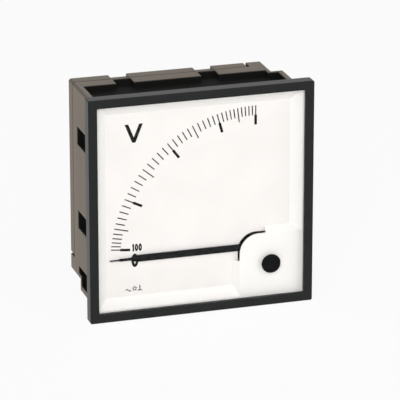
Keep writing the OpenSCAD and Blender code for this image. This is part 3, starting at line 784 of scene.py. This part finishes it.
@dataclass
class Dial:
    """The white mask, the dial sheet and the black print on it.

    Attributes:
        mask_edge: rounding of the mask's edges.
        film: thickness of the print.
        scale_out: how far the scale's centre lies outwards of the pivot, sideways and downwards.
        rim: radius of the scale's outer edge.
        tens_foot: inner radius of the ten-volt lines.
        fifties_foot: inner radius of the fifty-volt lines.
        bar_rim: outer radius of the hundred-volt bars.
        bar_foot: inner radius of the hundred-volt bars.
        line_w: width of the lines.
        bar_w: width of the bars.
        fifties: degrees of the fifty-volt steps from the scale's zero, from 100 to 500 volts.
        tens: the ten-volt lines, as parts of a fifty-volt step.
        letter: corners of the unit's letter.
        zero: the number at the pointer's rest.
        one: corners of the one of the hundred.
        noughts: the two noughts of the hundred.
        wave: the sign for alternating current: its middle, sideways and upwards.
        wave_w: its width.
        wave_h: how far it swings up and down.
        wave_line: the width of its line.
        wave_steps: steps along it.
        star: the sign for the test voltage: its middle, sideways and upwards.
        star_r: radius of its points.
        star_points: number of its points.
        star_dent: radius between the points, as a share of theirs.
        star_line: the width of its line.
        level: corners of the foot of the sign for upright mounting.
        stem: corners of that sign's stem.
        face_y: where the dial's face lies.
        centre: the scale's centre, in the middle of the print's thickness.
    """

    mask_edge: float = 0.3
    film: float = 0.04
    scale_out: float = 1.55
    rim: float = 62.4
    tens_foot: float = 58.3
    fifties_foot: float = 56.3
    bar_rim: float = 58.4
    bar_foot: float = 54.15
    line_w: float = 0.46
    bar_w: float = 1.1
    fifties: tuple[float, ...] = (5.5, 13.9, 26.0, 39.3, 52.7, 64.2, 74.6, 82.8, 90.0)
    tens: tuple[float, ...] = (0.2, 0.4, 0.6, 0.8)
    letter: Outline = (
        (-31.2, 34.65),
        (-28.05, 26.75),
        (-26.65, 26.75),
        (-23.5, 34.65),
        (-25.05, 34.65),
        (-27.35, 29.0),
        (-29.65, 34.65),
    )
    zero: Oval = Oval(-27.25, -24.2, 3.0, 5.9, 1.1)
    one: Outline = (
        (-27.55, -17.05),
        (-28.05, -17.05),
        (-28.4, -17.6),
        (-28.4, -18.1),
        (-28.2, -17.85),
        (-28.2, -20.25),
        (-27.55, -20.25),
    )
    noughts: tuple[Oval, ...] = (
        Oval(-26.55, -18.65, 1.45, 3.2, 0.6),
        Oval(-24.95, -18.65, 1.45, 3.2, 0.6),
    )
    wave: tuple[float, float] = (-30.1, -37.1)
    wave_w: float = 2.2
    wave_h: float = 0.4
    wave_line: float = 0.45
    wave_steps: int = 16
    star: tuple[float, float] = (-27.45, -36.55)
    star_r: float = 1.25
    star_points: int = 5
    star_dent: float = 0.5
    star_line: float = 0.26
    level: Outline = ((-26.2, -37.6), (-24.2, -37.6), (-24.2, -37.25), (-26.2, -37.25))
    stem: Outline = ((-25.4, -37.25), (-25.0, -37.25), (-25.0, -35.2), (-25.4, -35.2))
    face_y: float = field(init=False)
    centre: Vector = field(init=False)

    def __post_init__(self) -> None:
        """Find the scale's centre and the dial's face in the frame."""
        pivot = middle("spindle")
        self.face_y = span("dial_plate")[0].y
        out = self.scale_out
        self.centre = Vector((pivot.x + out, self.face_y - self.film / 2, pivot.z - out))

    def on_face(self, x: float, z: float) -> Vector:
        """Return a point on the dial's face."""
        return Vector((x, self.face_y, z))

    def stroke(self, shape: BMesh, turn: float, rim: float, foot: float, width: float) -> None:
        """Print one straight line of the scale.

        Args:
            shape: the print so far.
            turn: degrees from the scale's zero.
            rim: outer radius.
            foot: inner radius.
            width: width of the line.
        """
        line = (
            Matrix.Translation(self.centre)
            @ Matrix.Rotation(math.radians(turn), 4, "Y")
            @ Matrix.Translation((-(rim + foot) / 2, 0, 0))
            @ Matrix.Diagonal((rim - foot, self.film, width, 1))
        )
        bmesh.ops.create_cube(shape, size=1.0, matrix=line)

    def scale(self) -> BMesh:
        """Return the scale's lines and bars."""
        shape = bmesh.new()
        for step, turn in enumerate(self.fifties):
            if step % 2 == 0:
                self.stroke(shape, turn, self.rim, self.bar_rim, self.line_w)
                self.stroke(shape, turn, self.bar_rim, self.bar_foot, self.bar_w)
            else:
                self.stroke(shape, turn, self.rim, self.fifties_foot, self.line_w)
        for step in range(len(self.fifties) - 1):
            for part in self.tens:
                self.stroke(shape, self.between(step, part), self.rim, self.tens_foot, self.line_w)
        return shape

    def between(self, step: int, part: float) -> float:
        """Return the degrees at a part of a fifty-volt step, on a smooth curve through the steps.

        Args:
            step: the step's place in the list.
            part: how far along the step, from 0 to 1.

        Returns:
            Degrees from the scale's zero.
        """
        steps = self.fifties
        before = steps[step - 1] if step else 3 * (steps[0] - steps[1]) + steps[2]
        last = 3 * (steps[-1] - steps[-2]) + steps[-3]
        after = steps[step + 2] if step + 2 < len(steps) else last
        low, high = steps[step], steps[step + 1]
        rise_low, rise_high = (high - before) / 2, (after - low) / 2
        bend = 2 * (low - high) + rise_low + rise_high
        sag = 3 * (high - low) - 2 * rise_low - rise_high
        return low + part * (rise_low + part * (sag + part * bend))

    def outline(self, shape: BMesh, corners: Outline) -> None:
        """Draw a flat outline from its corners, in X and Z."""
        shape.faces.new([shape.verts.new(self.on_face(x, z)) for x, z in corners])

    def ring(self, shape: BMesh, ring: Oval) -> None:
        """Draw an oval ring.

        Args:
            shape: the print so far.
            ring: the ring's place and size.
        """
        stretch = Matrix.Diagonal((ring.width / 2, ring.height / 2, 1, 1))
        oval = about_y(self.on_face(ring.x, ring.z)) @ stretch
        made = bmesh.ops.create_circle(
            shape, cap_ends=True, segments=ring.steps, radius=1.0, matrix=oval
        )
        self.hollow(shape, made["verts"], ring.line)

    def hollow(self, shape: BMesh, rim: list[BMVert], line: float) -> None:
        """Leave only a line of an outline's face.

        Args:
            shape: the print so far.
            rim: the outline's corners.
            line: the width of the line.
        """
        face = next(f for f in rim[0].link_faces if f.is_valid)
        bmesh.ops.inset_region(
            shape, faces=[face], thickness=line, use_boundary=True, use_even_offset=True
        )
        bmesh.ops.delete(shape, geom=[face], context="FACES")

    def unit(self) -> BMesh:
        """Return the unit's letter."""
        shape = bmesh.new()
        self.outline(shape, self.letter)
        return shape

    def numbers(self) -> BMesh:
        """Return the numbers at the ends of the first step: the zero and the hundred."""
        shape = bmesh.new()
        self.ring(shape, self.zero)
        self.outline(shape, self.one)
        for nought in self.noughts:
            self.ring(shape, nought)
        return shape

    def symbols(self) -> BMesh:
        """Return the symbols of use: alternating current, test voltage and upright mounting."""
        shape = bmesh.new()
        size = Matrix.Diagonal((self.wave_w, self.wave_line, 1, 1))
        strip = about_y(self.on_face(*self.wave)) @ size
        made = bmesh.ops.create_grid(
            shape, x_segments=self.wave_steps, y_segments=1, size=0.5, matrix=strip
        )
        for corner in made["verts"]:
            along = (self.wave[0] - corner.co.x) / self.wave_w
            corner.co.z += self.wave_h * math.sin(math.tau * along)
        star = self.on_face(*self.star)
        made = bmesh.ops.create_circle(
            shape,
            cap_ends=True,
            segments=2 * self.star_points,
            radius=self.star_r,
            matrix=about_y(star),
        )
        dents = [v for v in made["verts"] if self.is_dent(v.co - star)]
        inwards = (self.star_dent, 1, self.star_dent)
        bmesh.ops.scale(shape, vec=inwards, space=Matrix.Translation(-star), verts=dents)
        self.hollow(shape, made["verts"], self.star_line)
        self.outline(shape, self.level)
        self.outline(shape, self.stem)
        return shape

    def is_dent(self, arm: Vector) -> bool:
        """Tell whether a star's corner lies between two points of it."""
        return math.cos(self.star_points * (math.atan2(arm.z, arm.x) - math.pi / 2)) < 0

    def raised(self, shape: BMesh) -> BMesh:
        """Return flat outlines with the thickness of the print."""
        made = bmesh.ops.extrude_face_region(shape, geom=shape.faces[:])
        front = [v for v in made["geom"] if isinstance(v, BMVert)]
        bmesh.ops.translate(shape, vec=(0, -self.film, 0), verts=front)
        bmesh.ops.recalc_face_normals(shape, faces=shape.faces)
        return shape

    def build(self) -> None:
        """Build the mask and the print, and dress the sheet."""
        mask = softened("dial_mask", self.mask_edge)
        place(mask, "white_mask", Body.CASING, MASK_WHITE, ["dial_mask"])
        dress(DIAL_WHITE, "dial_plate")
        place(self.scale(), "scale_print", Body.CASING, DIAL_INK)
        place(self.raised(self.unit()), "unit_print", Body.CASING, DIAL_INK)
        place(self.raised(self.numbers()), "number_print", Body.CASING, DIAL_INK)
        place(self.raised(self.symbols()), "symbol_print", Body.CASING, DIAL_INK)


@dataclass
class Terminals:
    """The two threaded studs at the back with their washers and nuts.

    Attributes:
        pitch: pitch of the thread.
        depth: depth of the thread.
        profile: the thread's turn, as parts of its pitch and of its depth.
        washer_edge: rounding of the washers.
        nut_edge: rounding of the nuts.
        head_h: height of the studs' heads.
        head_wide: radius of the heads' corners, as a share of the studs' radius.
        head_edge: rounding of the heads.
        head_sides: sides of the heads.
        thread_from: where the thread starts, from the end of the head.
        turns: steps in a full turn.
        seam: distance within which the thread's turns are joined.
        stud_r: radius of the studs.
        reach: distance of the studs from the middle, sideways.
        height: height of the studs above the middle.
        head_y: where the studs' heads end.
        end_y: where the studs end.
    """

    pitch: float = 0.7
    depth: float = 0.36
    profile: Outline = ((0.0, 0.0), (0.12, 0.0), (0.5, 1.0), (0.62, 1.0))
    washer_edge: float = 0.12
    nut_edge: float = 0.25
    head_h: float = 2.2
    head_wide: float = 2.0
    head_edge: float = 0.2
    head_sides: int = 6
    thread_from: float = 2.0
    turns: int = 36
    seam: float = 0.01
    stud_r: float = field(init=False)
    reach: float = field(init=False)
    height: float = field(init=False)
    head_y: float = field(init=False)
    end_y: float = field(init=False)

    def __post_init__(self) -> None:
        """Find the studs in the frame."""
        low, high = span("terminal_studs")
        mounts = {m["name"]: m for m in frame["record"]["mounts"]}
        right = mounts["right_terminal"]
        self.stud_r = right["dims"]["r_mm"]
        self.reach = right["pos_m"][0] / MM
        self.height = right["pos_m"][2] / MM
        self.head_y, self.end_y = low.y, high.y

    def thread(self, start: float, end: float) -> BMesh:
        """Return a threaded rod about the Y axis.

        Args:
            start: where it starts.
            end: where it ends.

        Returns:
            The rod, closed at both ends.
        """
        shape = bmesh.new()
        count = math.ceil((end - start) / self.pitch) + 3
        points = []
        for turn in range(count):
            y = start + (turn - 2) * self.pitch
            for along, deep in self.profile:
                out = self.stud_r - deep * self.depth
                points.append(shape.verts.new((out, y + along * self.pitch, 0)))
        edges = [shape.edges.new(pair) for pair in zip(points, points[1:])]
        bmesh.ops.spin(
            shape,
            geom=points + edges,
            cent=(0, 0, 0),
            axis=(0, 1, 0),
            dvec=(0, self.pitch / self.turns, 0),
            angle=math.tau,
            steps=self.turns,
            use_merge=False,
        )
        bmesh.ops.remove_doubles(shape, verts=shape.verts, dist=self.seam)
        for y, side in ((start, -1), (end, 1)):
            everything = shape.verts[:] + shape.edges[:] + shape.faces[:]
            bmesh.ops.bisect_plane(
                shape, geom=everything, plane_co=(0, y, 0), plane_no=(0, side, 0), clear_outer=True
            )
            ends = [e for e in shape.edges if e.is_boundary]
            rim = [e for e in ends if abs(e.verts[0].co.y - y) < 2 * self.seam]
            bmesh.ops.holes_fill(shape, edges=rim, sides=0)
        bmesh.ops.recalc_face_normals(shape, faces=shape.faces)
        return shape

    def studs(self) -> BMesh:
        """Return both studs, each with its six-sided head inside the cover."""
        shape = self.thread(self.head_y + self.thread_from, self.end_y)
        head_r = self.head_wide * self.stud_r
        made = bmesh.ops.create_cone(
            shape,
            cap_ends=True,
            segments=self.head_sides,
            radius1=head_r,
            radius2=head_r,
            depth=self.head_h,
            matrix=about_y(Vector((0, self.head_y + self.head_h / 2, 0))),
        )
        rims = list({e for v in made["verts"] for e in v.link_edges})
        bmesh.ops.bevel(
            shape,
            geom=rims,
            offset=self.head_edge,
            affect="EDGES",
            segments=2,
            profile=0.5,
            material=-1,
        )
        return self.paired(shape)

    def paired(self, shape: BMesh) -> BMesh:
        """Return a shape about the Y axis set at both terminals."""
        bmesh.ops.translate(shape, vec=(-self.reach, 0, self.height), verts=shape.verts)
        made = bmesh.ops.duplicate(shape, geom=shape.verts[:] + shape.edges[:] + shape.faces[:])
        second = [v for v in made["geom"] if isinstance(v, BMVert)]
        bmesh.ops.translate(shape, vec=(2 * self.reach, 0, 0), verts=second)
        return shape

    def build(self) -> None:
        """Build the studs and soften their washers and nuts."""
        place(self.studs(), "threaded_studs", Body.CASING, BRASS, ["terminal_studs"])
        washers = softened("terminal_washers", self.washer_edge)
        place(washers, "stud_washers", Body.CASING, ZINC, ["terminal_washers"])
        nuts = softened("terminal_nuts", self.nut_edge)
        place(nuts, "stud_nuts", Body.CASING, BRASS, ["terminal_nuts"])


@dataclass
class Movement:
    """The moving system with the pointer, the zero setting, the coil and the series resistors.

    Attributes:
        pointer_edge: rounding of the pointer.
        head_edge: rounding of the adjuster's head.
        head_steps: steps in that rounding.
    """

    pointer_edge: float = 0.08
    head_edge: float = 0.25
    head_steps: int = 3

    def build(self) -> None:
        """Soften what shows at the front, and dress the works behind the dial."""
        pointer = softened("pointer", self.pointer_edge)
        place(pointer, "pointer_arm", Body.MOVING, POINTER_BLACK, ["pointer"])
        head = softened("zero_adjuster", self.head_edge, self.head_steps)
        place(head, "adjuster_knob", Body.ADJUSTER, KNOB_BLACK, ["zero_adjuster"])
        dress(INNER_PLASTIC, "damping_chamber", "chamber_cover")
        dress(BOBBIN_PLASTIC, "coil_bobbin")
        dress(COPPER_WIRE, "coil_winding")
        dress(BRASS, "front_bearing", "rear_bearing", "balance_weights")
        # the works behind the pointer's slot are near-black: painted shade for the dark gap
        dress(PAINTED_SHADE_BRASS, "zero_lever", "front_bridge", "bridge_posts", "movement_frame")
        dress(ZINC, "adjuster_clip", "bridge_screws", "spindle", "movement_screws", "board_screws")
        dress(ALUMINIUM, "pointer_hub", "damping_paddle")
        dress(IRON, "moving_iron", "fixed_iron")
        dress(BRONZE, "hairspring")
        dress(BOARD, "resistor_board")
        dress(CERAMIC, "series_resistors")
        dress(RED_LEAD, "board_lead", "coil_lead")
        dress(BLACK_LEAD, "supply_lead")


@dataclass(frozen=True)
class Lamp:
    """A soft square lamp that shines at the object.

    Attributes:
        name: the lamp's name.
        at: its place, in metres.
        side: its side, in metres.
        power: its power, in watts.
    """

    name: str
    at: Point
    side: float
    power: float

    def hang(self) -> None:
        """Hang the lamp in the scene."""
        light = bpy.data.lights.new(self.name, "AREA")
        light.size = self.side
        light.energy = self.power
        lamp = bpy.data.objects.new(self.name, light)
        lamp.location = self.at
        lamp.rotation_euler = (-Vector(self.at)).to_track_quat("-Z", "Y").to_euler()
        bpy.context.scene.collection.objects.link(lamp)


@dataclass
class Studio:
    """The pale floor, the soft lamps, the white surroundings and the camera.

    Attributes:
        floor_half: half of the floor's side, in metres.
        floor_cloud: width of the floor's faint clouds.
        keep_shadow: share of the floor's own shade that the camera sees.
        sky: strength of the even light.
        lamps: the main lamp at the upper left and the weaker one at the right.
        eye: the camera's place, in metres.
        pitch: the camera's turn up from straight down, in degrees.
        yaw: the camera's turn about Z, in degrees.
        lens: the camera's focal length.
    """

    floor_half: float = 6.0
    floor_cloud: float = 200.0
    keep_shadow: float = 0.08
    sky: float = 0.34
    lamps: tuple[Lamp, ...] = (
        Lamp("key_lamp", (-0.6, -1.7, 0.8), 1.0, 23.0),
        Lamp("fill_lamp", (1.0, -1.4, 0.4), 1.2, 5.0),
    )
    eye: Point = (-0.36152, -1.17086, 0.42935)
    pitch: float = 70.667
    yaw: float = -17.186
    lens: float = 284.41

    def build(self) -> None:
        """Set up the floor, the light and the camera."""
        self.floor()
        self.world()
        for lamp in self.lamps:
            lamp.hang()
        self.camera()
        bpy.context.scene.view_settings.view_transform = "Standard"

    def floor(self) -> None:
        """Lay the floor under the object's lowest point."""
        shape = bmesh.new()
        under = Matrix.Translation((0, 0, CAD_BOX[0][2]))
        bmesh.ops.create_grid(shape, x_segments=4, y_segments=4, size=self.floor_half, matrix=under)
        mesh = bpy.data.meshes.new("studio_floor")
        shape.to_mesh(mesh)
        shape.free()
        pale = bpy.data.materials.new("pale_floor")
        graph = Graph(pale)
        matt = graph.add("ShaderNodeBsdfDiffuse")
        cloud = graph.noise(self.floor_cloud)
        graph.join(graph.tones(cloud, FLOOR_DARK, FLOOR_PALE), matt.inputs["Color"])
        white = graph.add("ShaderNodeEmission", Color=WHITE, Strength=1.0)
        share = graph.add("ShaderNodeMath")
        share.operation = "MULTIPLY"
        share.inputs[1].default_value = 1 - self.keep_shadow
        graph.join(graph.rays(*SEEN), share.inputs[0])
        mix = graph.add("ShaderNodeMixShader")
        graph.join(share.outputs[0], mix.inputs["Fac"])
        graph.join(matt.outputs["BSDF"], mix.inputs[1])
        graph.join(white.outputs["Emission"], mix.inputs[2])
        graph.show(mix.outputs["Shader"])
        mesh.materials.append(pale)
        floor = bpy.data.objects.new("studio_floor", mesh)
        bpy.context.scene.collection.objects.link(floor)

    def world(self) -> None:
        """Surround the object with white that lights it only softly."""
        world = bpy.data.worlds.new("white_surroundings")
        graph = Graph(world)
        light = graph.add("ShaderNodeBackground", Color=WHITE, Strength=self.sky)
        white = graph.add("ShaderNodeBackground", Color=WHITE, Strength=1.0)
        mix = graph.add("ShaderNodeMixShader")
        graph.join(graph.rays(*SEEN), mix.inputs["Fac"])
        graph.join(light.outputs["Background"], mix.inputs[1])
        graph.join(white.outputs["Background"], mix.inputs[2])
        graph.join(mix.outputs["Shader"], graph.add("ShaderNodeOutputWorld").inputs["Surface"])
        bpy.context.scene.world = world

    def camera(self) -> None:
        """Set the camera at the photograph's angle."""
        data = bpy.data.cameras.new("front_camera")
        data.lens = self.lens
        data.sensor_width = SENSOR
        camera = bpy.data.objects.new("front_camera", data)
        camera.location = self.eye
        camera.rotation_euler = (math.radians(self.pitch), 0.0, math.radians(self.yaw))
        bpy.context.scene.collection.objects.link(camera)
        bpy.context.scene.camera = camera


def main() -> None:
    """Build the voltmeter and its studio."""
    logging.basicConfig(level=logging.INFO, format="%(name)s %(message)s")
    for part in (Studio(), Housing(), Dial(), Movement(), Terminals()):
        part.build()


if __name__ == "__main__":
    main()
